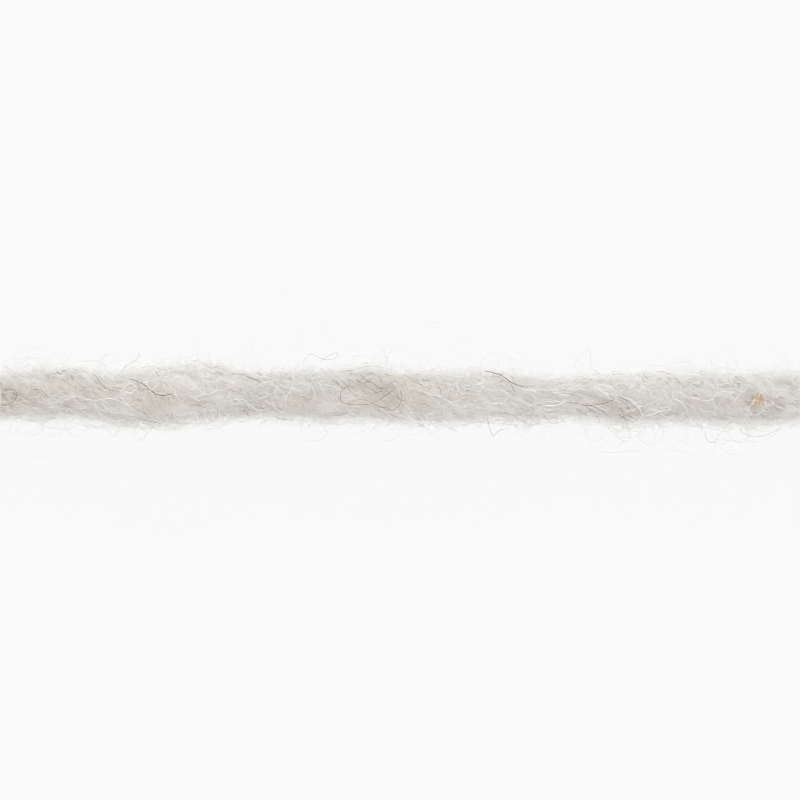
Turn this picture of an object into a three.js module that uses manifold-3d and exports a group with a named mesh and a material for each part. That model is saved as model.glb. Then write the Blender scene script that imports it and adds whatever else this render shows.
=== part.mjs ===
// A cut length of soft two-ply knitting wool, laid out straight on a flat surface.
//
// Millimetres, +Z up. The strand runs along X. The origin is on the resting plane, under the
// middle of the strand's box. Two plies wind round each other by the right-hand rule (Z twist).
// Each ply is a soft oval that its neighbour presses flat on one side, and that the surface
// presses flat underneath. The strand holds a whole number of half turns and its two ends have
// the same outline, so copies laid end to end along X go on as one longer strand.
import * as THREE from "three";
import { mergeVertices } from "three/addons/utils/BufferGeometryUtils.js";
import Module from "manifold-3d";

// Driving dimensions.
const LENGTH = 52; // from one cut end to the other
const PLY_REACH = 1.45; // usual distance from the strand's axis to the outside of a ply
const PLY_CENTRE = 0.3; // usual distance from the strand's axis to the middle of a ply
const PLY_HALF_WIDTH = 1.42; // usual half width of a ply, across the way it faces
const PLY_GAP = 0.3; // the clear space between the two plies
const PRESSED_SOFTNESS = 0.1; // how gradually a ply goes flat where its neighbour presses it
const SETTLED = 0.9; // height of the axis over the surface, as a share of the half thickness

// How fine the solids are.
const SIDES = 16;
const STEPS = 72;

// The twist: how many half turns the plies have made at each place along the strand.
const TWIST = [
  { x: -26.0, halfTurns: -0.43 },
  { x: -21.7, halfTurns: 0 },
  { x: -12.5, halfTurns: 1 },
  { x: -0.3, halfTurns: 2 },
  { x: 11.1, halfTurns: 3 },
  { x: 20.0, halfTurns: 4 },
  { x: 26.0, halfTurns: 4.57 },
];

// The course of the strand: its thick and thin places, and how its axis bends a little from side
// to side. It has the same half thickness and the same place at both ends.
const COURSE = [
  { x: -26.0, halfThickness: 1.45, sideways: 0 },
  { x: -22.2, halfThickness: 1.4, sideways: 0 },
  { x: -20.0, halfThickness: 1.45, sideways: 0.05 },
  { x: -18.3, halfThickness: 1.42, sideways: 0.14 },
  { x: -15.6, halfThickness: 1.5, sideways: -0.17 },
  { x: -14.0, halfThickness: 1.63, sideways: -0.1 },
  { x: -12.2, halfThickness: 1.75, sideways: 0 },
  { x: -10.5, halfThickness: 1.66, sideways: 0.15 },
  { x: -8.6, halfThickness: 1.4, sideways: 0.06 },
  { x: -7.2, halfThickness: 1.38, sideways: 0.04 },
  { x: -5.5, halfThickness: 1.5, sideways: 0 },
  { x: -3.3, halfThickness: 1.44, sideways: 0 },
  { x: -1.2, halfThickness: 1.52, sideways: 0.08 },
  { x: 1.2, halfThickness: 1.46, sideways: -0.09 },
  { x: 3.2, halfThickness: 1.5, sideways: -0.1 },
  { x: 5.0, halfThickness: 1.48, sideways: 0.03 },
  { x: 6.7, halfThickness: 1.42, sideways: -0.1 },
  { x: 8.5, halfThickness: 1.25, sideways: -0.08 },
  { x: 10.0, halfThickness: 1.25, sideways: 0 },
  { x: 12.2, halfThickness: 1.4, sideways: -0.07 },
  { x: 15.0, halfThickness: 1.38, sideways: -0.02 },
  { x: 18.0, halfThickness: 1.46, sideways: -0.11 },
  { x: 20.0, halfThickness: 1.46, sideways: -0.08 },
  { x: 22.4, halfThickness: 1.42, sideways: 0 },
  { x: 26.0, halfThickness: 1.45, sideways: 0 },
];

const PLIES = [
  { name: "ply_first", startAngle: Math.PI / 2, colour: 0xd8d5cf },
  { name: "ply_second", startAngle: -Math.PI / 2, colour: 0xd3cfc7 },
];

// A column of a table at any x, on a smooth curve through the table's rows.
function along(table, column, x) {
  const last = table.length - 1;
  const above = table.findIndex((row) => row.x > x);
  const i = above < 0 ? last - 1 : Math.max(above - 1, 0);
  const slope = (k) => {
    const before = table[Math.max(k - 1, 0)];
    const after = table[Math.min(k + 1, last)];
    return (after[column] - before[column]) / (after.x - before.x);
  };
  const [low, high] = [table[i], table[i + 1]];
  const span = high.x - low.x;
  const t = THREE.MathUtils.clamp((x - low.x) / span, 0, 1);
  const [t2, t3] = [t * t, t * t * t];
  return (
    (2 * t3 - 3 * t2 + 1) * low[column] +
    (t3 - 2 * t2 + t) * span * slope(i) +
    (3 * t2 - 2 * t3) * high[column] +
    (t3 - t2) * span * slope(i + 1)
  );
}

// Height of the strand's axis over the surface: thick places lie a little higher than thin ones.
function axisHeight(x) {
  return SETTLED * along(COURSE, "halfThickness", x);
}

// Keeps a distance from the strand's axis outside half the gap, with a soft bend into it.
function pressedFlat(distance) {
  const over = (distance - PLY_GAP / 2) / PRESSED_SOFTNESS;
  return PLY_GAP / 2 + PRESSED_SOFTNESS * Math.log1p(Math.exp(over));
}

// A point of one ply at x, where out and across run from -1 to 1 over the ply's own section.
function plyPoint(ply, x, out, across) {
  const swell = along(COURSE, "halfThickness", x) / PLY_REACH;
  const radial = pressedFlat(swell * (PLY_CENTRE + (PLY_REACH - PLY_CENTRE) * out));
  const sideways = swell * PLY_HALF_WIDTH * across;
  const angle = ply.startAngle - Math.PI * along(TWIST, "halfTurns", x);
  return new THREE.Vector3(
    x,
    along(COURSE, "sideways", x) + radial * Math.sin(angle) + sideways * Math.cos(angle),
    axisHeight(x) + radial * Math.cos(angle) - sideways * Math.sin(angle),
  );
}

// One ply as a closed skin: a round bar along X, with each of its points moved to the ply's form.
function plySkin(ply) {
  const skin = new THREE.CylinderGeometry(1, 1, LENGTH, SIDES, STEPS);
  skin.rotateZ(-Math.PI / 2);
  skin.deleteAttribute("normal");
  skin.deleteAttribute("uv");
  const place = skin.attributes.position;
  for (let i = 0; i < place.count; i++) {
    const moved = plyPoint(ply, place.getX(i), place.getZ(i), place.getY(i));
    place.setXYZ(i, moved.x, moved.y, moved.z);
  }
  return skin;
}

// Boolean work, for the flat underside.
const wasm = await Module();
wasm.setup();

function solidOf(geometry) {
  const merged = mergeVertices(geometry);
  return new wasm.Manifold(
    new wasm.Mesh({
      numProp: 3,
      vertProperties: merged.attributes.position.array,
      triVerts: new Uint32Array(merged.index.array),
    }),
  );
}

function geometryOf(solid) {
  const mesh = solid.getMesh();
  const geometry = new THREE.BufferGeometry();
  geometry.setAttribute("position", new THREE.BufferAttribute(mesh.vertProperties, 3));
  geometry.setIndex(new THREE.BufferAttribute(mesh.triVerts, 1));
  geometry.computeVertexNormals();
  return geometry;
}

// The space above the surface, larger than the strand every way but down.
function roomAboveSurface() {
  const depth = 4 * PLY_REACH;
  const room = new THREE.BoxGeometry(2 * LENGTH, 2 * depth, depth);
  room.translate(0, 0, depth / 2);
  room.deleteAttribute("normal");
  room.deleteAttribute("uv");
  return solidOf(room);
}

const room = roomAboveSurface();
const yarn = new THREE.Group();
for (const ply of PLIES) {
  const settled = solidOf(plySkin(ply)).intersect(room);
  const wool = new THREE.MeshStandardMaterial({
    color: ply.colour,
    roughness: 0.95,
    metalness: 0,
  });
  const mesh = new THREE.Mesh(geometryOf(settled), wool);
  mesh.name = ply.name;
  yarn.add(mesh);
}

// The strand bends a little more to one side, so all of it is moved back to centre its box.
const box = new THREE.Box3().setFromObject(yarn);
yarn.position.y = -(box.min.y + box.max.y) / 2;

export default yarn;
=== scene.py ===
"""A cut length of soft undyed two-ply knitting wool, laid out straight on a pale surface.

The CAD model gives two plain plies. Here they become wool: two plies with a fibrous skin, hairs
laid over them, short fuzz and loose loops round them, long wisps and stray hairs beside them,
curly white hairs, coarse brown hairs and flecks, cut hair ends, and one bit of straw that was
spun in. Sizes are in millimetres, and make_object writes its meshes in metres.
"""

import math

import bpy
import numpy as np
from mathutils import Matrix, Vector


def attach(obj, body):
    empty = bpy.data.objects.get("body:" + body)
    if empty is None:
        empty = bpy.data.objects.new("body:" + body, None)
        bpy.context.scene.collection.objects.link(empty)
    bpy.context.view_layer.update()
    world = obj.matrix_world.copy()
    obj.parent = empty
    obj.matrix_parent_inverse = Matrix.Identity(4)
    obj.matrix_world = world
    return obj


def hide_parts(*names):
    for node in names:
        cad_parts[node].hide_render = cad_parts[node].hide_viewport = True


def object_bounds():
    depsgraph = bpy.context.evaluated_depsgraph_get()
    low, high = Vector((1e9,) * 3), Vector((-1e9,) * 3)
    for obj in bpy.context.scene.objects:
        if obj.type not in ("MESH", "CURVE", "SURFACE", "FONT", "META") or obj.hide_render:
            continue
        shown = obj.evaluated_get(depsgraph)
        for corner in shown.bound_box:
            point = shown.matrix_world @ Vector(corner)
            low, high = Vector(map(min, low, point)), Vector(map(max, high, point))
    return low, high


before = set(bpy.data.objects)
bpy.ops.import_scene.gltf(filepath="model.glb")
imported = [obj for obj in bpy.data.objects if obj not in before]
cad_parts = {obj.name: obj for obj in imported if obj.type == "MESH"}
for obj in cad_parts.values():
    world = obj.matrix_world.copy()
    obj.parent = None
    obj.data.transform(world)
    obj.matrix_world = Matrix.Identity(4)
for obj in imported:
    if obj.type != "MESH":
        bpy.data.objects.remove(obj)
cad_low, cad_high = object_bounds()
MM = 0.001

# ------------------------------------------------------------ the strand, as the CAD has it
LENGTH = (cad_high.x - cad_low.x) / MM
HALF_LENGTH = LENGTH / 2
SETTLED = 0.9  # height of the axis over the surface, as a share of the half thickness
THICKNESS = 3.0  # of the whole strand

# The twist: how many half turns the plies have made at each x.
TWIST = np.array(
    [
        (-26.0, -0.43),
        (-21.7, 0),
        (-12.5, 1),
        (-0.3, 2),
        (11.1, 3),
        (20.0, 4),
        (26.0, 4.57),
    ],
    dtype=[("x", float), ("half_turns", float)],
)
# The course: the half thickness, and how far the axis bends from side to side.
COURSE = np.array(
    [
        (-26.0, 1.45, 0),
        (-22.2, 1.4, 0),
        (-20.0, 1.45, 0.05),
        (-18.3, 1.42, 0.14),
        (-15.6, 1.5, -0.17),
        (-14.0, 1.63, -0.1),
        (-12.2, 1.75, 0),
        (-10.5, 1.66, 0.15),
        (-8.6, 1.4, 0.06),
        (-7.2, 1.38, 0.04),
        (-5.5, 1.5, 0),
        (-3.3, 1.44, 0),
        (-1.2, 1.52, 0.08),
        (1.2, 1.46, -0.09),
        (3.2, 1.5, -0.1),
        (5.0, 1.48, 0.03),
        (6.7, 1.42, -0.1),
        (8.5, 1.25, -0.08),
        (10.0, 1.25, 0),
        (12.2, 1.4, -0.07),
        (15.0, 1.38, -0.02),
        (18.0, 1.46, -0.11),
        (20.0, 1.46, -0.08),
        (22.4, 1.42, 0),
        (26.0, 1.45, 0),
    ],
    dtype=[("x", float), ("half_thickness", float), ("sideways", float)],
)
FIRST_PLY_START = math.pi / 2  # where the first ply faces at no turns, from +Z towards +Y


def along(table, column, x):
    """A column of a table at any x, on the smooth curve through its rows that the CAD uses."""
    xs, ys = table["x"], table[column]
    slope = np.gradient(ys, xs)
    slope[1:-1] = (ys[2:] - ys[:-2]) / (xs[2:] - xs[:-2])
    x = np.clip(x, xs[0], xs[-1])
    i = np.clip(np.searchsorted(xs, x, side="right") - 1, 0, len(xs) - 2)
    span = xs[i + 1] - xs[i]
    t = (x - xs[i]) / span
    return (
        (2 * t**3 - 3 * t**2 + 1) * ys[i]
        + (t**3 - 2 * t**2 + t) * span * slope[i]
        + (3 * t**2 - 2 * t**3) * ys[i + 1]
        + (t**3 - t**2) * span * slope[i + 1]
    )


def axis_height(x):
    return SETTLED * along(COURSE, "half_thickness", x)


def facing(x):
    """Which way the first ply faces at x. The second one faces the other way."""
    return FIRST_PLY_START - math.pi * along(TWIST, "half_turns", x)


def soft_above(value, floor, softness):
    """value where it is well above floor, bending softly into floor below it."""
    return floor + softness * np.logaddexp(0, (value - floor) / softness)


GROOVE_DEPTH = 0.07  # of the soft groove between the plies, as a share of the radius
GROOVE_WIDTH = 0.33  # and its half width, as an angle


def outline_radius(x, angle):
    """Distance from the strand's axis to its outside, at an angle from +Z towards +Y."""
    from_groove = np.arcsin(np.abs(np.cos(angle - facing(x))))
    groove = GROOVE_DEPTH * np.exp(-((from_groove / GROOVE_WIDTH) ** 2))
    return along(COURSE, "half_thickness", x) * (1 - groove)


# The CAD moves the whole strand sideways, which centres its box.
EDGE_STEPS, EDGE_SIDES = 520, 72
edge_x, edge_angle = np.meshgrid(
    np.linspace(-HALF_LENGTH, HALF_LENGTH, EDGE_STEPS + 1),
    np.linspace(0, 2 * math.pi, EDGE_SIDES + 1),
)
edge_y = along(COURSE, "sideways", edge_x) + outline_radius(edge_x, edge_angle) * np.sin(edge_angle)
side_shift = -(edge_y.min() + edge_y.max()) / 2

SURFACE_SOFTNESS = 0.02  # how gradually points bend up where they would be under the surface
HAIR_LIFT = 0.01  # how far over the surface hairs stay


def strand_point(x, radius, angle, lift=0.0):
    """Points round the strand's axis, bent softly up where they would be under the surface."""
    y = side_shift + along(COURSE, "sideways", x) + radius * np.sin(angle)
    z = axis_height(x) + radius * np.cos(angle)
    return np.stack(np.broadcast_arrays(x, y, soft_above(z, lift, SURFACE_SOFTNESS)), axis=-1)


# ------------------------------------------------------------ camera
PICTURE_WIDTH = 44.4  # the stretch of strand that the picture holds
CAMERA_HEIGHT = 300.0  # over the strand's middle
CAMERA_ASIDE = -0.225
CAMERA_TURN = math.radians(0.2)
SENSOR_WIDTH = 36.0
camera = bpy.data.objects.new("camera", bpy.data.cameras.new("camera"))
bpy.context.collection.objects.link(camera)
camera.data.sensor_width = SENSOR_WIDTH
camera.data.lens = SENSOR_WIDTH * CAMERA_HEIGHT / PICTURE_WIDTH
camera.data.clip_start = 0.01
camera.data.clip_end = 10
camera.location = (0, CAMERA_ASIDE * MM, (CAMERA_HEIGHT + THICKNESS / 2) * MM)
camera.rotation_euler = (0, 0, CAMERA_TURN)
bpy.context.scene.camera = camera


# ------------------------------------------------------------ mesh tools
def make_object(name, points, faces, uv, tone):
    """A smooth mesh object, from points in millimetres and face arrays of one size each."""
    mesh = bpy.data.meshes.new(name)
    corners = np.concatenate([f.ravel() for f in faces]).astype(np.int32)
    sizes = np.concatenate([np.full(len(f), f.shape[1], np.int32) for f in faces])
    starts = np.concatenate([[0], np.cumsum(sizes)[:-1]]).astype(np.int32)
    mesh.vertices.add(len(points))
    mesh.vertices.foreach_set("co", (points * MM).astype(np.float32).ravel())
    mesh.loops.add(len(corners))
    mesh.loops.foreach_set("vertex_index", corners)
    mesh.polygons.add(len(sizes))
    mesh.polygons.foreach_set("loop_start", starts)
    mesh.polygons.foreach_set("loop_total", sizes)
    mesh.polygons.foreach_set("use_smooth", np.ones(len(sizes), bool))
    for uv_name, values in uv.items():
        layer = mesh.uv_layers.new(name=uv_name)
        layer.uv.foreach_set("vector", values.astype(np.float32).ravel())
    mesh.attributes.new("tone", "FLOAT", "POINT").data.foreach_set("value", tone.astype(np.float32))
    mesh.update(calc_edges=True)
    obj = bpy.data.objects.new(name, mesh)
    bpy.context.collection.objects.link(obj)
    return obj


def grid_quads(start, rows, columns):
    """The quads of a grid of points that is closed round its columns, as (rows, columns, 4)."""
    row = np.arange(rows)[:, None] * columns
    here = np.arange(columns)[None, :]
    after = (here + 1) % columns
    corners = (row + here, row + after, row + columns + after, row + columns + here)
    return start + np.stack(corners, axis=-1)


def across_path(paths):
    """Two unit vectors across each point of each path, turning as little as they can."""
    ahead = np.gradient(paths, axis=1)
    ahead /= np.maximum(np.linalg.norm(ahead, axis=2, keepdims=True), 1e-9)
    side = np.eye(3)[np.abs(ahead[:, 0]).argmin(axis=1)]
    sides = []
    for i in range(paths.shape[1]):
        side = side - (side * ahead[:, i]).sum(1, keepdims=True) * ahead[:, i]
        side = side / np.maximum(np.linalg.norm(side, axis=1, keepdims=True), 1e-9)
        sides.append(side)
    sides = np.stack(sides, axis=1)
    return sides, np.cross(ahead, sides)


TUBE_SIDES = 3
TIP_THICKNESS = 0.45  # what a hair thins out towards, as a share of its thickness halfway
CELL_MARGIN = 0.04  # round a hair's faces, in its cell of the bake's map
QUAD_CORNERS = np.array([(0, 0), (0, 1), (1, 1), (1, 0)])
CAP_CORNERS = np.array([(0.0, 0.0), (0.9, 0.0), (0.0, 1.2)])


def quad_uv(rows, columns):
    """A unit square for each quad of a grid, in the order of grid_quads, as (corners, 2)."""
    squares = np.stack(np.meshgrid(np.arange(rows), np.arange(columns), indexing="ij"), axis=-1)
    return (squares[:, :, None] + QUAD_CORNERS).reshape(-1, 2)


def make_hairs(name, paths, thickness, tones):
    """Closed thin tubes along paths (count, steps + 1, 3) that thin out to their tips."""
    count, rows = paths.shape[:2]
    steps = rows - 1
    t = np.linspace(0.02, 0.98, rows)
    taper = TIP_THICKNESS + (1 - TIP_THICKNESS) * np.sqrt(np.sin(math.pi * t))
    radius = (thickness[:, None] / 2 * taper)[..., None, None]
    turn = np.arange(TUBE_SIDES)[:, None] * 2 * math.pi / TUBE_SIDES
    side, up = (v[:, :, None] for v in across_path(paths))
    ring = np.cos(turn) * side + np.sin(turn) * up
    points = (paths[:, :, None] + radius * ring).reshape(-1, 3)

    start = (np.arange(count) * rows * TUBE_SIDES)[:, None]
    quads = grid_quads(start[:, :, None, None], steps, TUBE_SIDES).reshape(-1, 4)
    cap = np.arange(TUBE_SIDES)
    caps = np.concatenate([start + cap[::-1], start + steps * TUBE_SIDES + cap])

    # In the bake's map each hair has a cell of its own, and each of its faces a patch of the cell.
    grid = math.ceil(math.sqrt(count))
    cell = np.stack([np.arange(count) % grid, np.arange(count) // grid], axis=-1)
    in_cell = [quad_uv(steps, TUBE_SIDES)]
    in_cell += [CAP_CORNERS + (steps, rise) for rise in (0, TUBE_SIDES / 2)]
    used = 1 - 2 * CELL_MARGIN
    uv = [
        (cell[:, None] + CELL_MARGIN + used * part / (steps + 1, TUBE_SIDES)).reshape(-1, 2) / grid
        for part in in_cell
    ]
    tone = np.repeat(tones, rows * TUBE_SIDES)
    return make_object(name, points, [quads, caps], {"OFBake": np.concatenate(uv)}, tone)


def lattice_noise(rng, u, v, columns, rows):
    """Smooth noise from -1 to 1 that repeats after columns in u and after rows in v."""
    values = rng.uniform(-1, 1, (columns, rows))
    iu, iv = np.floor(u).astype(int), np.floor(v).astype(int)
    fu, fv = u - iu, v - iv
    fu, fv = fu * fu * (3 - 2 * fu), fv * fv * (3 - 2 * fv)
    near = values[iu % columns, iv % rows] * (1 - fu) + values[(iu + 1) % columns, iv % rows] * fu
    iv = iv + 1
    far = values[iu % columns, iv % rows] * (1 - fu) + values[(iu + 1) % columns, iv % rows] * fu
    return near * (1 - fv) + far * fv


# ------------------------------------------------------------ where the wool is warm in colour
# Each place's strength is above 0 where it is warmer than usual, and below 0 where it is paler.
WARM_PLACES = np.array(
    [
        (-21.8, 0.0, 1.2, 0.9, 0.9),
        (-18.6, 0.1, 1.8, 0.6, 0.5),
        (-16.5, 0.0, 1.1, 0.5, 0.4),
        (-13.0, -0.2, 2.2, 0.7, 0.8),
        (-7.8, 0.0, 1.2, 0.7, 0.25),
        (-5.3, -0.1, 1.4, 0.6, 0.75),
        (-1.0, 0.3, 1.8, 0.8, 0.85),
        (1.2, -0.1, 0.9, 0.5, 0.4),
        (3.3, 0.1, 1.2, 0.5, 0.6),
        (6.0, 0.1, 1.6, 0.6, 0.3),
        (12.2, -0.7, 1.2, 0.5, 0.7),
        (14.4, 0.4, 1.4, 0.9, -0.3),
        (16.7, -0.1, 1.3, 0.5, 0.6),
        (18.0, 1.2, 3.0, 0.4, -0.3),
        (19.8, -0.1, 1.8, 0.8, 0.45),
    ],
    dtype=[("x", float), ("y", float), ("length", float), ("width", float), ("strength", float)],
)


def warmth(points):
    """How warm the wool is at points on the strand: 0 as a rule, and about 1 at most."""
    amount = np.zeros(points.shape[:-1])
    for place in WARM_PLACES:
        away = ((points[..., 0] - place["x"]) / place["length"]) ** 2
        away = away + ((points[..., 1] - place["y"]) / place["width"]) ** 2
        amount += place["strength"] * np.exp(-away)
    return amount


# ------------------------------------------------------------ the plies
SKIN_DEPTH = 0.57  # the dense wool lies this far inside the solids, which reach as far as the pile
SKIN_STEPS = 340
OUTER_SIDES = 42  # points of a ply's section round its outside
INNER_SIDES = 10  # and along the flat side, where it meets the other ply
SKIN_SIDES = OUTER_SIDES + INNER_SIDES
HALF_GAP = 0.01  # half of what is left between the plies' flat sides
# The skin's lumps, from large to small: their height, how many go round half a turn, how much
# they lean, how long they are, and where in a noise of how many columns and rows they start.
RELIEF = (
    (0.02, 5, 0.12, 1.6, 40, 31, 97),
    (0.015, 12, -0.5, 0.7, 90, 53, 201),
    (0.01, 26, 0.8, 0.4, 150, 97, 389),
)
# A ply's tone: its usual one, and what the wool's warmth and each millimetre of relief add.
USUAL_TONE = 0.15
TONE_FOR_WARMTH = 0.6
TONE_FOR_RELIEF = 2


def ply_skin(rng, x, which):
    """A ply's points, (steps + 1, sides, 3), and its fibrous relief there."""
    turns = np.linspace(0, 1, OUTER_SIDES)[None, :]
    angle = facing(x) + which * math.pi + (turns - 0.5) * math.pi
    relief = sum(
        height * lattice_noise(rng, turns * lumps + x * lean, x / long + start, columns, rows)
        for height, lumps, lean, long, start, columns, rows in RELIEF
    )
    radius = outline_radius(x, angle) - SKIN_DEPTH + relief
    outer = np.stack([radius * np.cos(angle), radius * np.sin(angle)], axis=-1)
    t = np.linspace(0, 1, INNER_SIDES + 2)[1:-1, None]
    inner = outer[:, -1:] * (1 - t) + outer[:, :1] * t
    section = np.concatenate([outer, inner], axis=1)
    ahead = facing(x) + which * math.pi
    section = section + HALF_GAP * np.stack([np.cos(ahead), np.sin(ahead)], axis=-1)
    up, side = section[..., 0], section[..., 1]
    points = strand_point(x + 0 * up, np.hypot(up, side), np.arctan2(side, up))
    return points, np.concatenate([relief, 0 * inner[..., 0]], axis=1)


def make_plies(rng):
    """Both plies as closed skins, in one mesh, because they make one rope.

    In the bake's map each ply's side is a wide band, and the four cut faces lie beside the bands.
    """
    x = np.linspace(-HALF_LENGTH, HALF_LENGTH, SKIN_STEPS + 1)[:, None]
    points, quads, caps, tones, bake, fibre, cap_bake, cap_fibre = ([] for _ in range(8))
    for which in range(2):
        place, relief = ply_skin(rng, x, which)
        start = which * place.shape[0] * SKIN_SIDES
        points.append(place.reshape(-1, 3))
        tone = USUAL_TONE + TONE_FOR_WARMTH * warmth(place) + TONE_FOR_RELIEF * relief
        tones.append(tone.ravel())
        quads.append(grid_quads(start, SKIN_STEPS, SKIN_SIDES).reshape(-1, 4))
        uv = quad_uv(SKIN_STEPS, SKIN_SIDES) / (SKIN_STEPS, SKIN_SIDES)
        bake.append(uv * (0.9, 0.48) + (0.01, 0.01 + 0.5 * which))
        fibre.append(uv * (LENGTH, 3 * THICKNESS) + (0, 10 * which))
        for end, row in enumerate((0, SKIN_STEPS)):
            order = np.arange(SKIN_SIDES)[:: 1 if end else -1]
            caps.append(start + row * SKIN_SIDES + order[None, :])
            section = place[row, order][:, 1:] - place[row, :, 1:].mean(axis=0)
            cap_bake.append(0.5 + section * 0.02 + (0.455, 0.24 * (2 * which + end) - 0.37))
            cap_fibre.append(section + 40 * (1 + 2 * which + end))
    uv = {"OFBake": np.concatenate(bake + cap_bake), "fibre": np.concatenate(fibre + cap_fibre)}
    faces = [np.concatenate(quads), np.concatenate(caps)]
    return make_object("yarn_plies", np.concatenate(points), faces, uv, np.concatenate(tones))


# ------------------------------------------------------------ hairs all over
GOLDEN_ANGLE = math.pi * (3 - math.sqrt(5))
ROOT_SCATTER = 0.3  # how far roots are from an even pattern, as an angle
SIDE_SCATTER = 0.5  # how far those of a fluffy place are from the middle of its side
# Where the yarn is fluffier: on which side, how far it spreads, and how many more hairs there are.
FLUFFY_PLACES = np.array(
    [
        (-18.2, -1, 2.2, 70, 0),
        (-19.0, 1, 1.8, 50, 0),
        (-16.0, 1, 1.4, 20, 0),
        (-13.8, -1, 1.5, 10, 20),
        (-11.4, 1, 1.4, 35, 0),
        (-5.5, 1, 1.6, 45, 40),
        (-5.5, -1, 1.2, 0, 20),
        (-1.8, 1, 0.9, 45, 0),
        (2.8, 1, 2.4, 60, 20),
        (6.8, 1, 1.2, 10, 10),
        (7.0, -1, 1.5, 10, 0),
        (13.8, -1, 2.0, 65, 0),
        (16.0, 1, 2.6, 160, 0),
        (19.3, -1, 1.8, 60, 0),
        (20.6, 1, 1.2, 35, 0),
    ],
    dtype=[("x", float), ("side", float), ("spread", float), ("loops", int), ("fuzz", int)],
)


def roots(rng, count, kind=None):
    """Where hairs stand, as x and angle: count all over, and more of their kind where it is fluffy.

    Those all over wind round the strand by the golden angle, which spreads them evenly.
    """
    order = np.arange(count)
    x = [(order + rng.uniform(0, 1, count)) / count * LENGTH - HALF_LENGTH]
    angle = [order * GOLDEN_ANGLE + rng.normal(0, ROOT_SCATTER, count)]
    for place in FLUFFY_PLACES if kind else ():
        x.append(rng.normal(place["x"], place["spread"], place[kind]))
        angle.append(place["side"] * rng.normal(math.pi / 2, SIDE_SCATTER, place[kind]))
    return np.concatenate(x)[:, None], np.concatenate(angle)[:, None]


WAVE_RATE = 1.6  # how many radians of its wave a wandering hair has in each millimetre


def wandering(rng, long, steps, bend, spread):
    """Flat curly paths: how far along and how far across each point of each hair is.

    long is each hair's length, bend is the range of curvature, per millimetre, and spread is
    how far from along the yarn a hair usually heads, as an angle.
    """
    count = len(long)
    t = np.linspace(0, 1, steps + 1)[None, :]
    piece = (long / steps)[:, None]
    curve = rng.uniform(*bend, (count, 1)) * rng.choice((-1, 1), (count, 1))
    wave = rng.normal(0, bend[1], (count, 1))
    start = rng.uniform(0, 2 * math.pi, (count, 1))
    wave = wave * np.sin(start + WAVE_RATE * long[:, None] * t)
    heading = rng.normal(0, spread, (count, 1)) + np.cumsum((curve + wave) * piece, axis=1)
    middle = steps // 2
    ahead = np.cumsum(np.cos(heading) * piece, axis=1)
    aside = np.cumsum(np.sin(heading) * piece, axis=1)
    return ahead - ahead[:, middle : middle + 1], aside - aside[:, middle : middle + 1]


def inside_cuts(x):
    """x, turned back where it would pass a cut end of the strand."""
    return x - 2 * np.sign(x) * np.maximum(np.abs(x) - HALF_LENGTH, 0)


def scattered(rng, where, long, bend, spread, proud):
    """Paths of hairs that stand at the roots where, and that follow the plies.

    proud, (count, steps + 1), is how far each point is above the strand's outline.
    """
    x0, angle0 = where
    ahead, aside = wandering(rng, long, proud.shape[1] - 1, bend, spread)
    x = inside_cuts(x0 + ahead)
    angle = angle0 + facing(x) - facing(x0) + aside / (THICKNESS / 2 + proud.clip(0))
    return strand_point(x, outline_radius(x, angle) + proud, angle, HAIR_LIFT)


def hair_tones(rng, paths, share, middle, spread):
    """A tone for each hair: share of the warmth of the wool where it lies, and some of its own."""
    place = paths[:, paths.shape[1] // 2]
    return middle + share * warmth(place) + rng.normal(0, spread, len(paths))


FLAT_ARCH = 0.06  # how far the middle of a flat hair is above its ends


def flat_hairs(rng, count, steps, long, bend, spread, depth):
    """Paths of hairs that lie on the skin, each at its own depth between the two given."""
    t = np.linspace(0, 1, steps + 1)[None, :]
    proud = rng.uniform(*depth, (count, 1)) + FLAT_ARCH * np.sin(math.pi * t)
    return scattered(rng, roots(rng, count), rng.uniform(*long, count), bend, spread, proud)


RISEN_LENGTH = 2.4  # how much longer a risen hair is for each millimetre that it rises
RISEN_WAVE_RATE = 3.0  # how many radians of its wave it has in each millimetre
RISEN_WAVES = 0.3  # as a share of its height


def risen_hairs(rng, where, steps, long, bend, spread, rise):
    """Paths of hairs that loop up out of the skin and back.

    rise is how high all of them get, how much more most of them get, and the most they may.
    """
    least, usual, most = rise
    count = len(where[0])
    height = (least + rng.exponential(usual, count)).clip(0, most)
    length = rng.uniform(*long, count) + RISEN_LENGTH * height
    t = np.linspace(0, 1, steps + 1)[None, :]
    wave = rng.uniform(0, 2 * math.pi, (count, 1)) + RISEN_WAVE_RATE * length[:, None] * t
    arch = height[:, None] * np.sin(math.pi * t)
    proud = -SKIN_DEPTH + arch * (1 + RISEN_WAVES * np.sin(wave))
    return scattered(rng, where, length, bend, spread, proud)


# A curled hair's loop: how far apart its feet are and how high its waves are, both as a share of
# its height, how many waves it has, and how far it leans across the yarn, as an angle.
LOOP_DRIFT = 0.5
LOOP_WAVES = 0.09
LOOP_WAVE_COUNT = (1.2, 2.6)
LOOP_LEAN = 0.35


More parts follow.
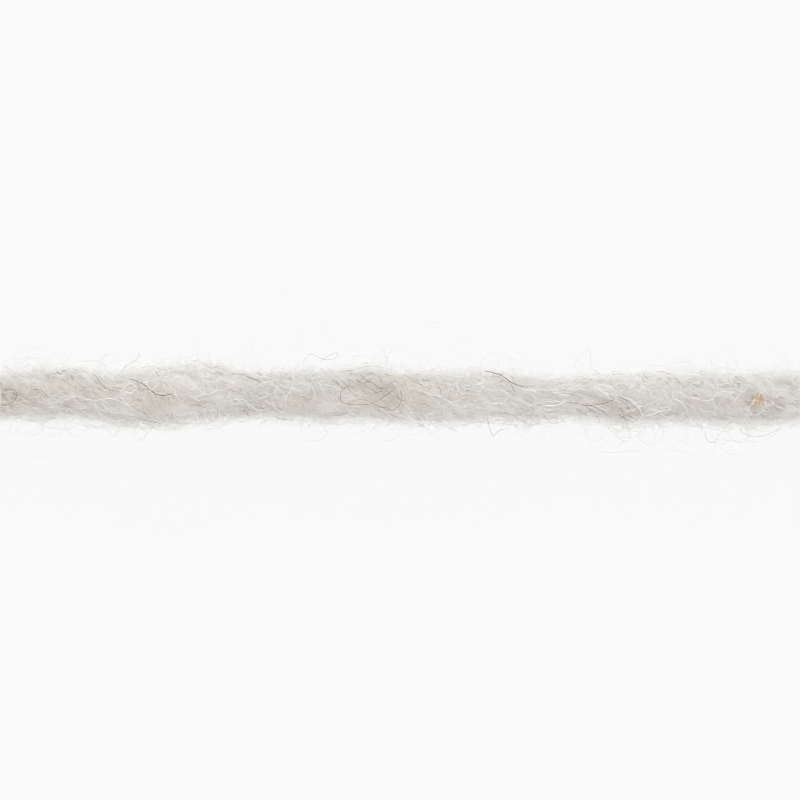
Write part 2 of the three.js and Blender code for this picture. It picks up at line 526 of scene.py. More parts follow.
def curled_hairs(rng, where, steps, rise, roundness):
    """Paths of hairs that leave the skin, turn over in a round loop, and come back to it.

    rise is as in risen_hairs, and roundness is the range of how wide a loop is for its height.
    """
    x0, angle0 = where
    count = len(x0)
    least, usual, most = rise
    height = (least + rng.exponential(usual, (count, 1))).clip(0, most)
    t = np.linspace(0, 1, steps + 1)[None, :]
    wide = height * rng.uniform(*roundness, (count, 1)) * rng.choice((-1, 1), (count, 1)) / 2
    drift = rng.normal(0, LOOP_DRIFT, (count, 1)) * height
    waves = rng.uniform(*LOOP_WAVE_COUNT, (3, count, 1)) * t + rng.uniform(0, 1, (3, count, 1))
    waves = rng.normal(0, LOOP_WAVES, (3, count, 1)) * height * np.sin(2 * math.pi * waves)
    swing = wide * np.sin(2 * math.pi * t) + drift * (t - 0.5) + waves[0]
    proud = -SKIN_DEPTH + height * np.sin(math.pi * t) ** 1.4 + waves[1] * np.sin(math.pi * t)
    lean = rng.normal(0, LOOP_LEAN, (count, 1))
    x = inside_cuts(x0 + swing * np.cos(lean) - waves[2] * np.sin(lean))
    angle = angle0 + (swing * np.sin(lean) + waves[2] * np.cos(lean)) / (THICKNESS / 2)
    return strand_point(x, outline_radius(x, angle) + proud, angle, HAIR_LIFT)


def laid_hairs(rng, name, count):
    """Hairs that lie in the skin, mostly along the plies."""
    paths = flat_hairs(
        rng, count, steps=8, long=(2.0, 5.0), bend=(0.15, 0.8), spread=1.0, depth=(-0.5, -0.24)
    )
    tones = hair_tones(rng, paths, share=0.5, middle=0.15, spread=0.08)
    return make_hairs(name, paths, rng.uniform(0.018, 0.03, count), tones)


def fuzz_hairs(rng, name, count):
    """Short fine hairs that arch out of the skin, most of them only a little."""
    where = roots(rng, count, "fuzz")
    rise = (0.15, 0.26, 0.72)
    paths = risen_hairs(
        rng, where, steps=6, long=(0.4, 0.9), bend=(0.8, 3.0), spread=1.6, rise=rise
    )
    tones = hair_tones(rng, paths, share=0.3, middle=0.1, spread=0.1)
    return make_hairs(name, paths, rng.uniform(0.013, 0.021, len(paths)), tones)


def loose_loops(rng, name, count):
    """Curly hairs that loop out of the fuzz and back."""
    where = roots(rng, count, "loops")
    paths = curled_hairs(rng, where, steps=14, rise=(0.48, 0.3, 1.7), roundness=(0.75, 1.6))
    tones = hair_tones(rng, paths, share=0.2, middle=0.1, spread=0.12)
    return make_hairs(name, paths, rng.uniform(0.016, 0.026, len(paths)), tones)


WISP_REACH = 3.5  # how far out of the skin a wisp gets at most


def wisps(rng, name, count):
    """A few long fine hairs that leave the yarn at one end and curl in the air beside it."""
    x0, angle0 = roots(rng, count)
    long = rng.uniform(2.0, 6.0, count)
    ahead, outward = wandering(rng, long, steps=22, bend=(0.8, 2.6), spread=0.8)
    ahead = ahead - ahead[:, :1]
    outward = outward - outward[:, :1]
    outward = outward * np.sign(outward[:, -1:])
    outward = soft_above(outward, floor=0, softness=0.1).clip(0, WISP_REACH)
    x = inside_cuts(x0 + ahead)
    angle = angle0 + rng.normal(0, 0.4, (count, 1)) * np.linspace(0, 1, x.shape[1])
    paths = strand_point(x, outline_radius(x, angle) - SKIN_DEPTH + outward, angle, HAIR_LIFT)
    tones = hair_tones(rng, paths, share=0, middle=0.1, spread=0.12)
    return make_hairs(name, paths, rng.uniform(0.013, 0.019, count), tones)


def white_curls(rng, name, count):
    """Thicker white hairs that curl over the surface."""
    paths = flat_hairs(
        rng, count, steps=16, long=(1.2, 3.8), bend=(0.8, 2.8), spread=1.6, depth=(-0.2, 0.12)
    )
    return make_hairs(name, paths, rng.uniform(0.024, 0.036, count), rng.uniform(0.2, 0.7, count))


def brown_bits(rng, name, count):
    """Short brown hairs all over, so that no side is without them."""
    paths = flat_hairs(
        rng, count, steps=8, long=(0.2, 0.9), bend=(0.1, 1.2), spread=0.6, depth=(-0.3, 0)
    )
    return make_hairs(name, paths, rng.uniform(0.016, 0.028, count), rng.uniform(0, 0.6, count))


# The cut ends: how far inside the outline they stay, how far all of them stand out, how much
# more most of them do, and how far they lean, as a share of that.
CUT_INSIDE = 0.12
CUT_REACH = 0.06
CUT_MORE = 0.16
CUT_LEAN = 0.35


def cut_ends(rng, name, count):
    """Short hair ends that stand out of the two cut faces, with their roots inside."""
    steps = 4
    end = rng.choice((-1, 1), (count, 1))
    x0 = end * HALF_LENGTH
    angle = rng.uniform(0, 2 * math.pi, (count, 1))
    radius = np.sqrt(rng.uniform(0, 1, (count, 1))) * (outline_radius(x0, angle) - CUT_INSIDE)
    t = np.linspace(0, 1, steps + 1)[None, :]
    reach = CUT_REACH + rng.exponential(CUT_MORE, (count, 1)).clip(0, 1.2)
    x = x0 + end * reach * (t * 1.3 - 0.3)
    lean = rng.normal(0, CUT_LEAN, (2, count, 1)) * reach * t**1.5
    paths = strand_point(x, radius + lean[0], angle + lean[1] / np.maximum(radius, 0.3), HAIR_LIFT)
    return make_hairs(name, paths, rng.uniform(0.025, 0.04, count), rng.uniform(0, 0.5, count))


# ------------------------------------------------------------ hairs placed one by one
ROUND_SHARE = 0.8  # a hair follows the strand's round this far out, as a share of its radius
DROP_SHARE = 0.45  # and past it, drops to the surface over about this much more


def smooth_path(points, steps):
    """steps + 1 points on a smooth curve through a few points."""
    p = np.array(points, float)
    p = np.concatenate([2 * p[:1] - p[1:2], p, 2 * p[-1:] - p[-2:-1]])
    t = np.linspace(0, len(points) - 1, steps + 1)
    i = np.minimum(t.astype(int), len(points) - 2)
    f = (t - i)[:, None]
    a, b, c, d = (p[i + k] for k in range(4))
    return 0.5 * (
        2 * b + (c - a) * f + (2 * a - 5 * b + 4 * c - d) * f**2 + (3 * b - a - 3 * c + d) * f**3
    )


def over_strand(points, steps, proud):
    """A path given as seen from above, laid over the strand's upper side or out beside it.

    Towards the side it leaves the round of the strand in a softer curve, and then wanders.
    """
    x, y = smooth_path(points, steps).T
    y = y - side_shift - along(COURSE, "sideways", x)
    angle = np.zeros_like(y)
    for _ in range(14):  # rounds that bring the radius and the angle together
        radius = outline_radius(x, angle) + proud
        angle = (angle + np.arcsin(np.clip(y / radius, -1, 1))) / 2
    reach = np.abs(y) / radius
    beyond = np.maximum(reach - ROUND_SHARE, 0)
    up = np.sqrt(1 - np.minimum(reach, ROUND_SHARE) ** 2) * np.exp(-beyond / DROP_SHARE)
    up = radius * (up + 0.2 * beyond * np.sin(2 * x))
    return strand_point(x, np.hypot(y, up), np.arctan2(y, up), HAIR_LIFT)


# The tables of brown and white hairs give their thickness as it looks, and they are finer.
BROWN_FINENESS = 0.62
WHITE_FINENESS = 0.85
WHITE_TONE = 0.1
STRAY_TONE = 0.5
# Each brown hair: thickness, tone from light to dark, and its way as seen from above.
BROWN_HAIRS = (
    (0.062, 0.8, (
        (-22.1, -0.5), (-21.8, -0.6), (-21.3, -0.3), (-21.2, 0.1), (-21.5, 0.3), (-21.9, 0.2),
    )),
    (0.05, 0.5, ((-22.3, -0.4), (-22.0, -0.6), (-21.6, -0.5), (-21.3, -0.6))),
    (0.075, 0.8, ((-20.3, 0.3), (-19.9, 0.25), (-19.6, 0.05), (-19.4, -0.2))),
    (0.05, 0.6, ((-20.1, 0.05), (-19.9, 0.1), (-19.7, -0.05), (-19.6, -0.25))),
    (0.04, 0.4, ((-20.6, -0.5), (-20.3, -0.6), (-20.1, -0.6))),
    (0.045, 0.5, ((-18.4, 0.9), (-18.3, 0.6), (-18.0, 0.4))),
    (0.045, 0.5, ((-18.9, 1.4), (-18.6, 1.35), (-18.3, 1.3))),
    (0.045, 0.5, ((-18.0, 1.4), (-17.7, 1.25), (-17.4, 1.3))),
    (0.06, 0.8, ((-17.1, 1.2), (-16.8, 1.0), (-16.5, 0.6), (-16.1, 0.3), (-15.6, 0.2))),
    (0.035, 0.3, ((-17.8, 0.5), (-17.4, 0.4), (-17.1, 0.5))),
    (0.035, 0.3, ((-17.4, -0.2), (-16.9, -0.2), (-16.3, -0.5), (-15.7, -0.6))),
    (0.095, 1.0, ((-14.9, 0.9), (-14.2, 0.6), (-13.7, 0.2), (-13.3, 0.0), (-12.9, 0.0), (-12.5, 0.1))),
    (0.05, 0.6, ((-14.6, -1.2), (-14.1, -1.4), (-13.6, -1.5), (-13.2, -1.6))),
    (0.04, 0.4, ((-12.4, -1.5), (-12.0, -1.6), (-11.6, -1.5))),
    (0.035, 0.3, ((-14.3, 1.5), (-13.7, 1.6), (-13.2, 1.4), (-12.6, 1.5))),
    (0.03, 0.6, ((-15.6, 1.1), (-15.3, 1.5), (-14.9, 1.8), (-14.6, 2.0), (-14.5, 2.3), (-14.4, 2.1))),
    (0.04, 0.5, ((-11.5, -0.5), (-11.1, -0.6), (-10.7, -0.7))),
    (0.045, 0.5, ((-10.8, 1.7), (-10.4, 1.5), (-10.1, 1.6), (-9.7, 1.4))),
    (0.045, 0.5, ((-9.6, 1.1), (-9.2, 1.2), (-8.7, 1.1))),
    (0.08, 0.8, ((-8.6, 1.1), (-8.1, 0.9), (-7.7, 0.7))),
    (0.035, 0.3, ((-9.4, 0.5), (-8.9, 0.4), (-8.4, 0.4))),
    (0.045, 0.5, ((-9.2, -0.5), (-8.6, -0.7), (-8.0, -0.9))),
    (0.045, 0.6, ((-8.8, -0.8), (-8.4, -0.9), (-8.1, -1.1))),
    (0.035, 0.4, ((-7.3, -0.1), (-7.0, 0.1))),
    (0.03, 0.5, (
        (-5.4, 1.8), (-5.2, 2.1), (-4.9, 2.3), (-4.2, 2.0),
        (-3.6, 2.1), (-3.5, 2.4), (-4.2, 2.1), (-4.4, 1.8),
    )),
    (0.05, 0.6, ((-3.6, 1.1), (-3.2, 0.8), (-2.9, 0.5), (-2.7, 0.2), (-2.4, -0.1))),
    (0.06, 0.7, (
        (-2.7, 0.6), (-3.1, 0.4), (-3.3, 0.0), (-3.1, -0.4), (-2.4, -0.5),
        (-1.5, -0.4), (-0.7, 0.1), (-0.3, 0.4), (-0.5, 0.6), (-1.0, 0.4),
    )),
    (0.06, 0.7, ((-2.2, 1.2), (-1.9, 0.9), (-1.5, 0.7), (-1.0, 0.4), (-0.4, 0.5))),
    (0.05, 0.6, ((-2.2, 0.8), (-1.8, 0.5), (-1.3, 0.2), (-0.8, 0.3), (-0.4, 0.0))),
    (0.045, 0.5, ((-1.2, 0.9), (-0.8, 0.6), (-0.3, 0.8), (0.2, 0.5))),
    (0.055, 0.6, (
        (-2.9, -0.4), (-2.1, -0.2), (-1.6, -0.4), (-1.1, -0.6),
        (-0.5, -0.8), (-0.1, -0.6), (0.1, -0.1), (0.0, 0.3),
    )),
    (0.045, 0.7, ((-1.4, -0.7), (-1.1, -0.8), (-0.7, -1.1))),
    (0.05, 0.6, ((0.2, 1.2), (0.7, 0.9), (1.2, 0.6), (1.7, 0.4))),
    (0.05, 0.8, ((-0.2, 0.2), (0.0, -0.2), (0.4, -0.3))),
    (0.045, 0.7, ((2.0, 0.7), (2.2, 0.4), (2.3, 0.1))),
    (0.05, 0.9, ((3.6, 0.3), (3.8, 0.3))),
    (0.1, 0.9, ((4.7, 1.4), (5.2, 1.3), (5.7, 1.1), (6.1, 0.8), (6.6, 0.6), (7.1, 0.5))),
    (0.05, 0.5, ((5.3, 1.2), (5.7, 0.9), (6.2, 0.7))),
    (0.04, 0.6, ((-3.2, 1.3), (-2.9, 1.4), (-2.6, 1.4))),
    (0.03, 0.4, ((-2.4, 1.5), (-2.0, 1.6), (-1.5, 1.65), (-0.9, 1.55))),
    (0.04, 0.3, ((5.4, -0.9), (6.1, -1.0), (6.7, -1.3), (7.2, -1.6))),
    (0.04, 0.7, ((4.8, -1.0), (4.9, -1.5), (5.1, -2.1), (5.2, -2.2), (5.5, -1.9), (5.9, -1.8))),
    (0.07, 0.8, (
        (9.2, -0.3), (9.9, -0.4), (10.4, -0.5), (11.1, -0.4), (11.5, -0.3),
        (12.0, -0.1), (12.5, -0.2), (12.9, -0.5), (13.3, -1.0),
    )),
    (0.05, 0.6, ((10.3, -0.5), (10.5, -0.8), (10.2, -0.9))),
    (0.05, 0.6, ((10.5, -0.5), (11.1, -0.8), (11.4, -1.0))),
    (0.05, 0.6, ((12.0, -0.8), (12.4, -1.2), (12.9, -1.4))),
    (0.045, 0.6, ((12.4, -0.8), (12.8, -1.1), (13.1, -1.3))),
    (0.04, 0.4, ((14.2, 1.4), (14.6, 1.4), (15.0, 1.2))),
    (0.05, 0.6, ((18.6, 1.1), (18.9, 1.1), (19.1, 0.9))),
    (0.035, 0.4, ((21.3, -0.5), (21.5, -0.4), (21.8, -0.3))),
    (0.03, 0.5, ((16.9, -1.9), (17.0, -2.3), (17.2, -2.5), (17.5, -2.5), (17.7, -2.1))),
    (0.03, 0.5, ((18.7, -1.6), (19.1, -2.0), (19.6, -2.2), (20.3, -2.1), (21.2, -1.7))),
)
# Each white hair that stands out on the upper side: thickness, and its way as seen from above.
WHITE_HAIRS = (
    (0.07, ((-22.2, 0.7), (-22.1, 0.1), (-22.1, -0.6))),
    (0.06, ((-16.9, -0.3), (-16.8, -0.6), (-16.9, -1.0))),
    (0.05, ((-15.9, 1.2), (-15.9, 0.9), (-15.8, 0.6))),
    (0.05, ((-15.1, 0.6), (-14.7, 0.6), (-14.6, 0.3), (-14.9, 0.1), (-15.2, 0.3), (-15.1, 0.6))),
    (0.05, (
        (-18.6, -0.3), (-17.8, -0.1), (-16.9, -0.3), (-16.0, -0.2),
        (-15.1, -0.5), (-14.6, -0.9), (-13.8, -1.2),
    )),
    (0.05, ((-12.4, -0.8), (-12.5, -1.1), (-12.0, -1.4), (-11.5, -1.3))),
    (0.05, ((-12.4, 0.2), (-12.2, -0.2), (-11.9, -0.4))),
    (0.055, ((-11.1, 0.4), (-10.9, 0.1), (-10.4, 0.1), (-10.1, 0.4), (-10.0, 0.9))),
    (0.06, ((-9.4, -0.3), (-8.8, -0.2), (-8.3, -0.5), (-7.9, -0.8), (-7.4, -0.8))),
    (0.05, ((-8.2, 0.4), (-7.5, 0.7), (-6.7, 0.9))),
    (0.05, ((-7.8, -0.2), (-7.2, 0.0), (-6.8, 0.4), (-6.8, 0.9), (-7.2, 0.6))),
    (0.05, ((-5.7, 0.9), (-5.2, 0.6), (-5.0, 0.3), (-5.4, 0.0), (-5.6, 0.3))),
    (0.055, ((-5.4, 0.9), (-4.9, 0.5), (-4.7, 0.0), (-4.9, -0.4))),
    (0.05, ((-5.9, 0.8), (-6.0, 0.3), (-6.3, -0.1), (-6.3, -0.5))),
    (0.05, ((1.0, 0.3), (1.6, 0.1), (2.4, -0.1), (3.0, -0.5))),
    (0.06, ((3.1, 1.0), (3.2, 0.5), (3.1, 0.0))),
    (0.05, ((4.9, 0.2), (5.4, 0.4), (6.0, 0.1), (5.7, -0.3), (5.1, -0.4), (4.8, -0.1))),
    (0.06, ((6.4, 0.9), (6.6, 0.5), (7.2, 0.3), (7.8, 0.4))),
    (0.06, ((8.5, 0.8), (8.6, 0.5), (8.8, 0.2))),
    (0.07, ((8.0, -0.5), (8.6, -0.5), (9.1, -0.3), (9.2, 0.1))),
    (0.09, ((12.3, 0.0), (12.8, -0.2), (13.2, -0.6), (13.5, -1.1))),
    (0.06, ((13.4, -1.1), (13.9, -1.0), (14.4, -0.8))),
    (0.06, ((12.5, 0.4), (12.9, 0.6), (13.1, 1.1))),
    (0.06, ((14.9, -0.5), (15.1, -0.1), (15.5, -0.3), (15.8, -0.6), (15.9, -1.0))),
    (0.055, ((15.2, 0.3), (15.6, 0.1), (15.8, -0.1), (15.4, -0.2), (15.2, 0.1))),
    (0.06, (
        (15.7, 0.1), (16.3, -0.1), (16.9, -0.2), (17.3, -0.1), (17.5, 0.2),
        (18.0, 0.3), (18.3, 0.1), (18.5, -0.3), (18.4, -0.9),
    )),
    (0.06, ((18.5, -0.3), (18.7, 0.1), (19.1, 0.4), (19.3, 0.8))),
    (0.05, ((17.3, 1.1), (17.5, 0.8), (17.6, 0.4))),
    (0.05, ((19.9, 0.4), (20.2, -0.1), (20.1, -0.7), (19.6, -1.0), (19.3, -0.7))),
    (0.05, ((21.3, 0.2), (21.8, -0.3), (22.2, -0.6))),
    (0.05, ((15.6, 0.1), (15.4, 0.35), (15.1, 0.2), (15.1, -0.1), (15.4, -0.2), (15.6, 0.0))),
)
# Each pale hair that strays far out beside the yarn: thickness, and its way as seen from above.
STRAY_HAIRS = (
    (0.012, (
        (-6.6, 5.6), (-6.2, 5.9), (-5.7, 5.7), (-5.5, 5.1), (-5.9, 4.2), (-5.7, 3.3), (-6.4, 1.5),
    )),
    (0.012, (
        (-5.3, 5.2), (-4.6, 5.4), (-4.2, 5.0), (-4.4, 4.2), (-4.0, 3.3), (-3.3, 2.4), (-3.4, 1.5),
    )),
    (0.018, (
        (1.0, 4.7), (1.2, 4.3), (2.3, 4.0), (3.3, 3.7),
        (4.3, 3.5), (4.9, 3.0), (5.4, 2.4), (5.3, 1.4),
    )),
    (0.016, ((1.7, 1.5), (2.1, 2.3), (2.9, 2.8), (3.7, 3.0), (4.3, 2.8), (4.6, 2.2), (4.9, 1.5))),
    (0.02, (
        (10.2, -1.5), (10.5, -2.6), (11.4, -3.1), (12.6, -3.0),
        (13.4, -3.0), (14.3, -3.2), (15.0, -3.7),
    )),
    (0.02, (
        (14.6, -1.5), (14.8, -2.8), (15.6, -3.0), (16.4, -3.3),
        (17.3, -3.4), (17.5, -2.4), (17.2, -1.5),
    )),
    (0.02, (
        (17.6, -1.5), (17.8, -2.6), (18.2, -3.1), (18.9, -3.2),
        (19.5, -3.0), (19.6, -2.3), (19.2, -1.5),
    )),
    (0.022, ((13.2, -1.5), (13.3, -2.3), (13.9, -2.7), (14.5, -2.4), (14.6, -1.8), (14.1, -1.5))),
    (0.022, ((10.6, -1.5), (10.4, -2.1), (10.8, -2.5), (11.3, -2.2), (11.2, -1.7), (10.9, -1.4))),
    (0.02, ((15.6, -1.5), (15.4, -2.2), (15.9, -2.6), (16.4, -2.2), (16.2, -1.6))),
    (0.02, ((-11.0, -1.6), (-10.9, -2.3), (-10.3, -2.6), (-9.8, -2.2), (-9.9, -1.5))),
)
PLACED_STEPS = 32
PLACED_WAVES = 0.04  # how far a placed hair rises and falls along its way


def placed_hairs(rng, name, hairs, proud):
    """Hairs placed one by one, each at a height of its own over the strand's outline.

    Each hair is its thickness, its tone and its way as seen from above.
    """
    thickness, tones, routes = zip(*hairs)
    t = np.linspace(0, 1, PLACED_STEPS + 1)
    starts = rng.uniform(0, 1, len(routes))
    waves = PLACED_WAVES * np.sin(2 * math.pi * (starts[:, None] + 1.5 * t))
    heights = rng.uniform(*proud, (len(routes), 1)) + waves
    paths = [over_strand(route, PLACED_STEPS, height) for route, height in zip(routes, heights)]
    return make_hairs(name, np.stack(paths), np.array(thickness), np.array(tones))


# Where short brown hairs crowd on the upper side: the middle, how far they spread, and how many.
BROWN_CROWDS = (
    (-21.6, -0.1, 0.6, 0.5, 13),
    (-20.1, -0.2, 0.5, 0.4, 8),
    (-18.2, 0.9, 0.6, 0.4, 12),
    (-16.8, 0.5, 0.6, 0.6, 10),
    (-14.0, 0.6, 0.9, 0.6, 10),
    (-13.6, -1.4, 0.8, 0.2, 6),
    (-10.3, 1.3, 0.5, 0.3, 8),
    (-9.0, 0.6, 0.6, 0.5, 10),
    (-8.6, -0.8, 0.6, 0.3, 11),
    (-3.2, 0.9, 0.4, 0.4, 8),
    (-2.0, 0.8, 0.6, 0.3, 15),
    (-0.8, 0.4, 0.9, 0.6, 10),
    (-0.8, -0.9, 0.6, 0.25, 7),
    (0.9, 0.7, 0.5, 0.3, 7),
    (2.2, 0.4, 0.3, 0.4, 5),
    (5.7, 1.0, 0.6, 0.3, 8),
    (10.6, -0.7, 0.6, 0.2, 8),
    (12.6, -1.0, 0.4, 0.3, 10),
    (14.6, 1.2, 0.5, 0.3, 5),
    (18.9, 0.9, 0.3, 0.3, 5),
    (20.9, -0.5, 0.6, 0.3, 4),
)
FLECK_HEADING = -0.45  # as an angle from +X
FLECK_SIDES = (-1.1, 1.2)  # the y between which the middle of each stays


def brown_flecks(rng, name):
    """Short brown hairs that crowd on the upper side and lie across the plies' twist."""
    routes = []
    for x, y, wide, high, count in BROWN_CROWDS:
        for _ in range(count):
            middle = np.array([rng.normal(x, wide), np.clip(rng.normal(y, high), *FLECK_SIDES)])
            heading = rng.normal(FLECK_HEADING, 0.35)
            half = rng.uniform(0.06, 0.28) * np.array([math.cos(heading), math.sin(heading)])
            bend = rng.normal(0, 0.15) * np.array([-half[1], half[0]])
            routes.append((middle - half, middle + bend, middle + half))
    heights = rng.uniform(-0.05, 0.08, len(routes))
    paths = np.stack([over_strand(route, 6, height) for route, height in zip(routes, heights)])
    thickness = rng.uniform(0.02, 0.034, len(routes))
    return make_hairs(name, paths, thickness, rng.uniform(0.2, 1, len(routes)))


# ------------------------------------------------------------ the bit of straw
# It is split lengthways. Each half: where its middle is, its half length, and its half width.
STRAW_HALVES = (
    (19.8, -0.08, 0.33, 0.19),
    (19.54, -0.21, 0.3, 0.095),
)
STRAW_HEADING = math.radians(82)
STRAW_HALF_THICKNESS = 0.04
STRAW_PROUD = -0.03  # how far over the strand's outline it lies
RIB_HEIGHT = 0.012
RIB_TURNS = 5  # how many radians of ribs each half has, from its middle to its edge


def make_straw(name):
    """Two ribbed halves of a dry bit of straw that lies in the fuzz on the upper side.

    In the bake's map each half has a wide band, and its two ends are small discs beside it.
    """
    rows, columns = 12, 16
    u = np.linspace(-1, 1, rows + 1)[:, None]
    turn = np.arange(columns)[None, :] * 2 * math.pi / columns
    order = np.arange(columns)
    disc = np.stack([np.cos(turn[0]), np.sin(turn[0])], axis=-1) * 0.05
    patch = quad_uv(rows, columns) / (rows, columns)
    points, quads, caps, tones, side_uv, cap_uv = ([] for _ in range(6))
    for which, (x0, y0, half_length, half_width) in enumerate(STRAW_HALVES):
        half = half_width * np.sqrt(1.02 - u) * (1.15 + u) ** 0.25
        sideways = half * np.cos(turn)
        lengthways = half_length * u + 0 * turn
        ribs = np.cos(sideways / half_width * RIB_TURNS + 0.9 * u)
        rise = STRAW_HALF_THICKNESS + RIB_HEIGHT * ribs * np.sin(turn)
        height = rise * np.sin(turn) - 0.5 * sideways**2
        x = x0 + lengthways * math.cos(STRAW_HEADING) - sideways * math.sin(STRAW_HEADING)
        y = y0 + lengthways * math.sin(STRAW_HEADING) + sideways * math.cos(STRAW_HEADING)
        ground = over_strand(((x0, y0), (x0 + 0.01, y0)), 1, STRAW_PROUD)[0, 2]
        start = which * x.size
        points.append(np.stack([x, y, ground + height], axis=-1).reshape(-1, 3))
        quads.append(grid_quads(start, rows, columns).reshape(-1, 4))
        caps.append(start + np.stack([order[::-1], rows * columns + order]))
        tones.append((0.5 + 0.5 * ribs).ravel())
        side_uv.append(patch * (0.85, 0.45) + (0.01, 0.01 + 0.5 * which))
        cap_uv += [disc[::-1] + (0.93, 0.1 + 0.5 * which), disc + (0.93, 0.3 + 0.5 * which)]
    faces = [np.concatenate(quads), np.concatenate(caps)]
    uv = {"OFBake": np.concatenate(side_uv + cap_uv)}
    return make_object(name, np.concatenate(points), faces, uv, np.concatenate(tones))


# ------------------------------------------------------------ materials
def add_node(tree, kind, **settings):
    """A new node of one kind, with its settings."""
    made = tree.nodes.new(kind)
    for key, value in settings.items():
        setattr(made, key, value)
    return made


def toned_material(name, first, last, roughness=0.9, sheen=0.2):
    """A matt material whose colour runs from first to last with the mesh's tone."""
    material = bpy.data.materials.new(name)
    material.use_nodes = True
    tree = material.node_tree
    shader = tree.nodes["Principled BSDF"]
    shader.inputs["Roughness"].default_value = roughness
    shader.inputs["Specular IOR Level"].default_value = 0.25
    shader.inputs["Sheen Weight"].default_value = sheen
    shader.inputs["Sheen Roughness"].default_value = 0.5
    tone = add_node(tree, "ShaderNodeAttribute", attribute_name="tone")
    ramp = add_node(tree, "ShaderNodeValToRGB")
    ramp.color_ramp.elements[0].color = (*first, 1)
    ramp.color_ramp.elements[1].color = (*last, 1)
    tree.links.new(tone.outputs["Fac"], ramp.inputs["Fac"])
    tree.links.new(ramp.outputs["Color"], shader.inputs["Base Color"])
    return material


def add_fibre_streaks(material):
    """Fine streaks along the fibres, in colour and relief, for the plies' skin."""
    tree = material.node_tree
    shader = tree.nodes["Principled BSDF"]
    tone = next(n for n in tree.nodes if n.type == "ATTRIBUTE")
    ramp = next(n for n in tree.nodes if n.type == "VALTORGB")
    where = add_node(tree, "ShaderNodeUVMap", uv_map="fibre")
    stretch = add_node(tree, "ShaderNodeMapping")
    stretch.inputs["Scale"].default_value = (1.0, 9.0, 1.0)
    noise = add_node(tree, "ShaderNodeTexNoise")
    noise.inputs["Scale"].default_value = 1.3
    noise.inputs["Detail"].default_value = 6.0
    tree.links.new(where.outputs["UV"], stretch.inputs["Vector"])
    tree.links.new(stretch.outputs["Vector"], noise.inputs["Vector"])
    streak = add_node(tree, "ShaderNodeMath", operation="MULTIPLY_ADD")
    streak.inputs[1].default_value = 0.5
    streak.inputs[2].default_value = -0.25
    tree.links.new(noise.outputs["Fac"], streak.inputs[0])
    both = add_node(tree, "ShaderNodeMath", operation="ADD")
    tree.links.new(tone.outputs["Fac"], both.inputs[0])
    tree.links.new(streak.outputs[0], both.inputs[1])
    tree.links.new(both.outputs[0], ramp.inputs["Fac"])
    bump = add_node(tree, "ShaderNodeBump")
    bump.inputs["Strength"].default_value = 0.25
    bump.inputs["Distance"].default_value = 0.03 * MM
    tree.links.new(noise.outputs["Fac"], bump.inputs["Height"])
    tree.links.new(bump.outputs["Normal"], shader.inputs["Normal"])


PALE_WOOL = (0.95, 0.931, 0.9)
WARM_WOOL = (0.74, 0.67, 0.57)
ply_wool = toned_material("ply_wool", PALE_WOOL, WARM_WOOL)
add_fibre_streaks(ply_wool)
hair_wool = toned_material("hair_wool", (0.975, 0.966, 0.949), WARM_WOOL)
white_wool = toned_material("white_wool", (0.97, 0.97, 0.965), (0.9, 0.885, 0.86), sheen=0.3)
brown_hair = toned_material("brown_hair", (0.6, 0.47, 0.36), (0.29, 0.19, 0.13), roughness=0.6)
straw = toned_material("straw", (0.51, 0.37, 0.2), (0.67, 0.5, 0.31), roughness=0.7, sheen=0.0)

# ------------------------------------------------------------ the yarn
SEED = 20
white = [(WHITE_FINENESS * thick, WHITE_TONE, way) for thick, way in WHITE_HAIRS]
stray = [(thick, STRAY_TONE, way) for thick, way in STRAY_HAIRS]
brown = [(BROWN_FINENESS * thick, tone, way) for thick, tone, way in BROWN_HAIRS]
rng = np.random.default_rng(SEED)
plies = make_plies(rng)
on_it = [
    (laid_hairs(rng, "laid_hairs", 2200), hair_wool, "wool"),
    (fuzz_hairs(rng, "fuzz_near", 4100), hair_wool, "wool"),
    (fuzz_hairs(rng, "fuzz_more", 4100), hair_wool, "wool"),
    (fuzz_hairs(rng, "fuzz_again", 4100), hair_wool, "wool"),
    (loose_loops(rng, "loose_loops", 1350), hair_wool, "wool"),
    (wisps(rng, "wisps", 80), hair_wool, "wool"),
    (white_curls(rng, "white_curls", 540), white_wool, "wool"),
    (cut_ends(rng, "cut_ends", 1500), hair_wool, "wool"),
    (placed_hairs(rng, "white_hairs", white, (0.06, 0.17)), white_wool, "wool"),
    (placed_hairs(rng, "stray_hairs", stray, (-0.2, 0.1)), white_wool, "wool"),
    (placed_hairs(rng, "brown_hairs", brown, (-0.02, 0.09)), brown_hair, "coarse_hair"),
    (brown_bits(rng, "brown_bits", 120), brown_hair, "coarse_hair"),
    (brown_flecks(rng, "brown_flecks"), brown_hair, "coarse_hair"),
    (make_straw("straw_bit"), straw, "straw"),
]
plies.data.materials.append(ply_wool)
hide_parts("ply_first", "ply_second")
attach(plies, "root")
for piece, material, slot in on_it:
    piece.data.materials.append(material)
    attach(piece, "root")
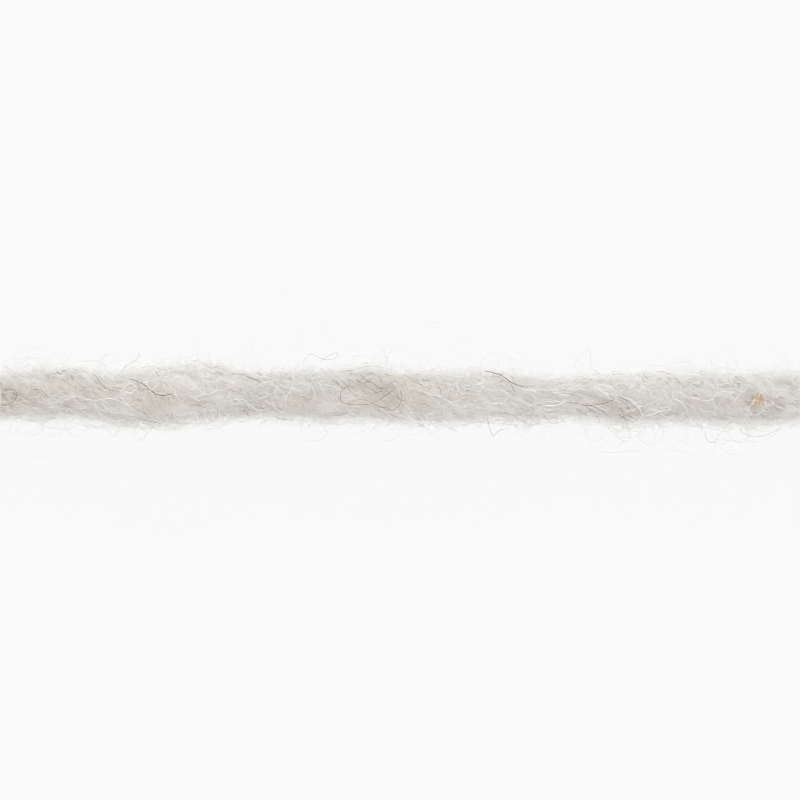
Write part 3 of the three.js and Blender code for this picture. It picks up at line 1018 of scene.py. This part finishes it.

# The yarn's centreline is the axis that the plies wind round.
axis_x = np.linspace(-HALF_LENGTH, HALF_LENGTH, 31)
axis = strand_point(axis_x, 0, 0) * MM

# ------------------------------------------------------------ floor and light
# The floor glows evenly, so hardly any shadow shows on it.
HALF_FLOOR = 2000.0
FLOOR_GLOW = 0.9
corner_signs = ((-1, -1), (1, -1), (1, 1), (-1, 1))
floor_corners = [(sx * HALF_FLOOR * MM, sy * HALF_FLOOR * MM, 0) for sx, sy in corner_signs]
floor_mesh = bpy.data.meshes.new("floor")
floor_mesh.from_pydata(floor_corners, [], [(0, 1, 2, 3)])
floor = bpy.data.objects.new("floor", floor_mesh)
bpy.context.collection.objects.link(floor)
paper = bpy.data.materials.new("pale_floor")
paper.use_nodes = True
paper_shader = paper.node_tree.nodes["Principled BSDF"]
paper_shader.inputs["Base Color"].default_value = (0.05, 0.05, 0.05, 1)
paper_shader.inputs["Roughness"].default_value = 1.0
paper_shader.inputs["Specular IOR Level"].default_value = 0.0
paper_shader.inputs["Emission Color"].default_value = (1, 1, 1, 1)
paper_shader.inputs["Emission Strength"].default_value = FLOOR_GLOW
floor_mesh.materials.append(paper)

world = bpy.data.worlds.new("studio")
bpy.context.scene.world = world
world.use_nodes = True
world.node_tree.nodes["Background"].inputs["Color"].default_value = (1, 1, 1, 1)
world.node_tree.nodes["Background"].inputs["Strength"].default_value = 0.92

# Each soft light: its tilt from straight down, how wide it is, both in degrees, and its strength.
SOFT_LIGHTS = ((-76, 24, 1.55), (81, 16, 0.8))
for tilt, wide, strength in SOFT_LIGHTS:
    lamp = bpy.data.objects.new("soft_light", bpy.data.lights.new("soft_light", "SUN"))
    bpy.context.collection.objects.link(lamp)
    lamp.data.energy = strength
    lamp.data.angle = math.radians(wide)
    lamp.data.color = (0.95, 0.98, 1)
    lamp.rotation_euler = (math.radians(tilt), 0, 0)

bpy.context.scene.view_settings.view_transform = "Standard"
bpy.context.scene.cycles.diffuse_bounces = 10
bpy.context.scene.cycles.filter_width = 1.0
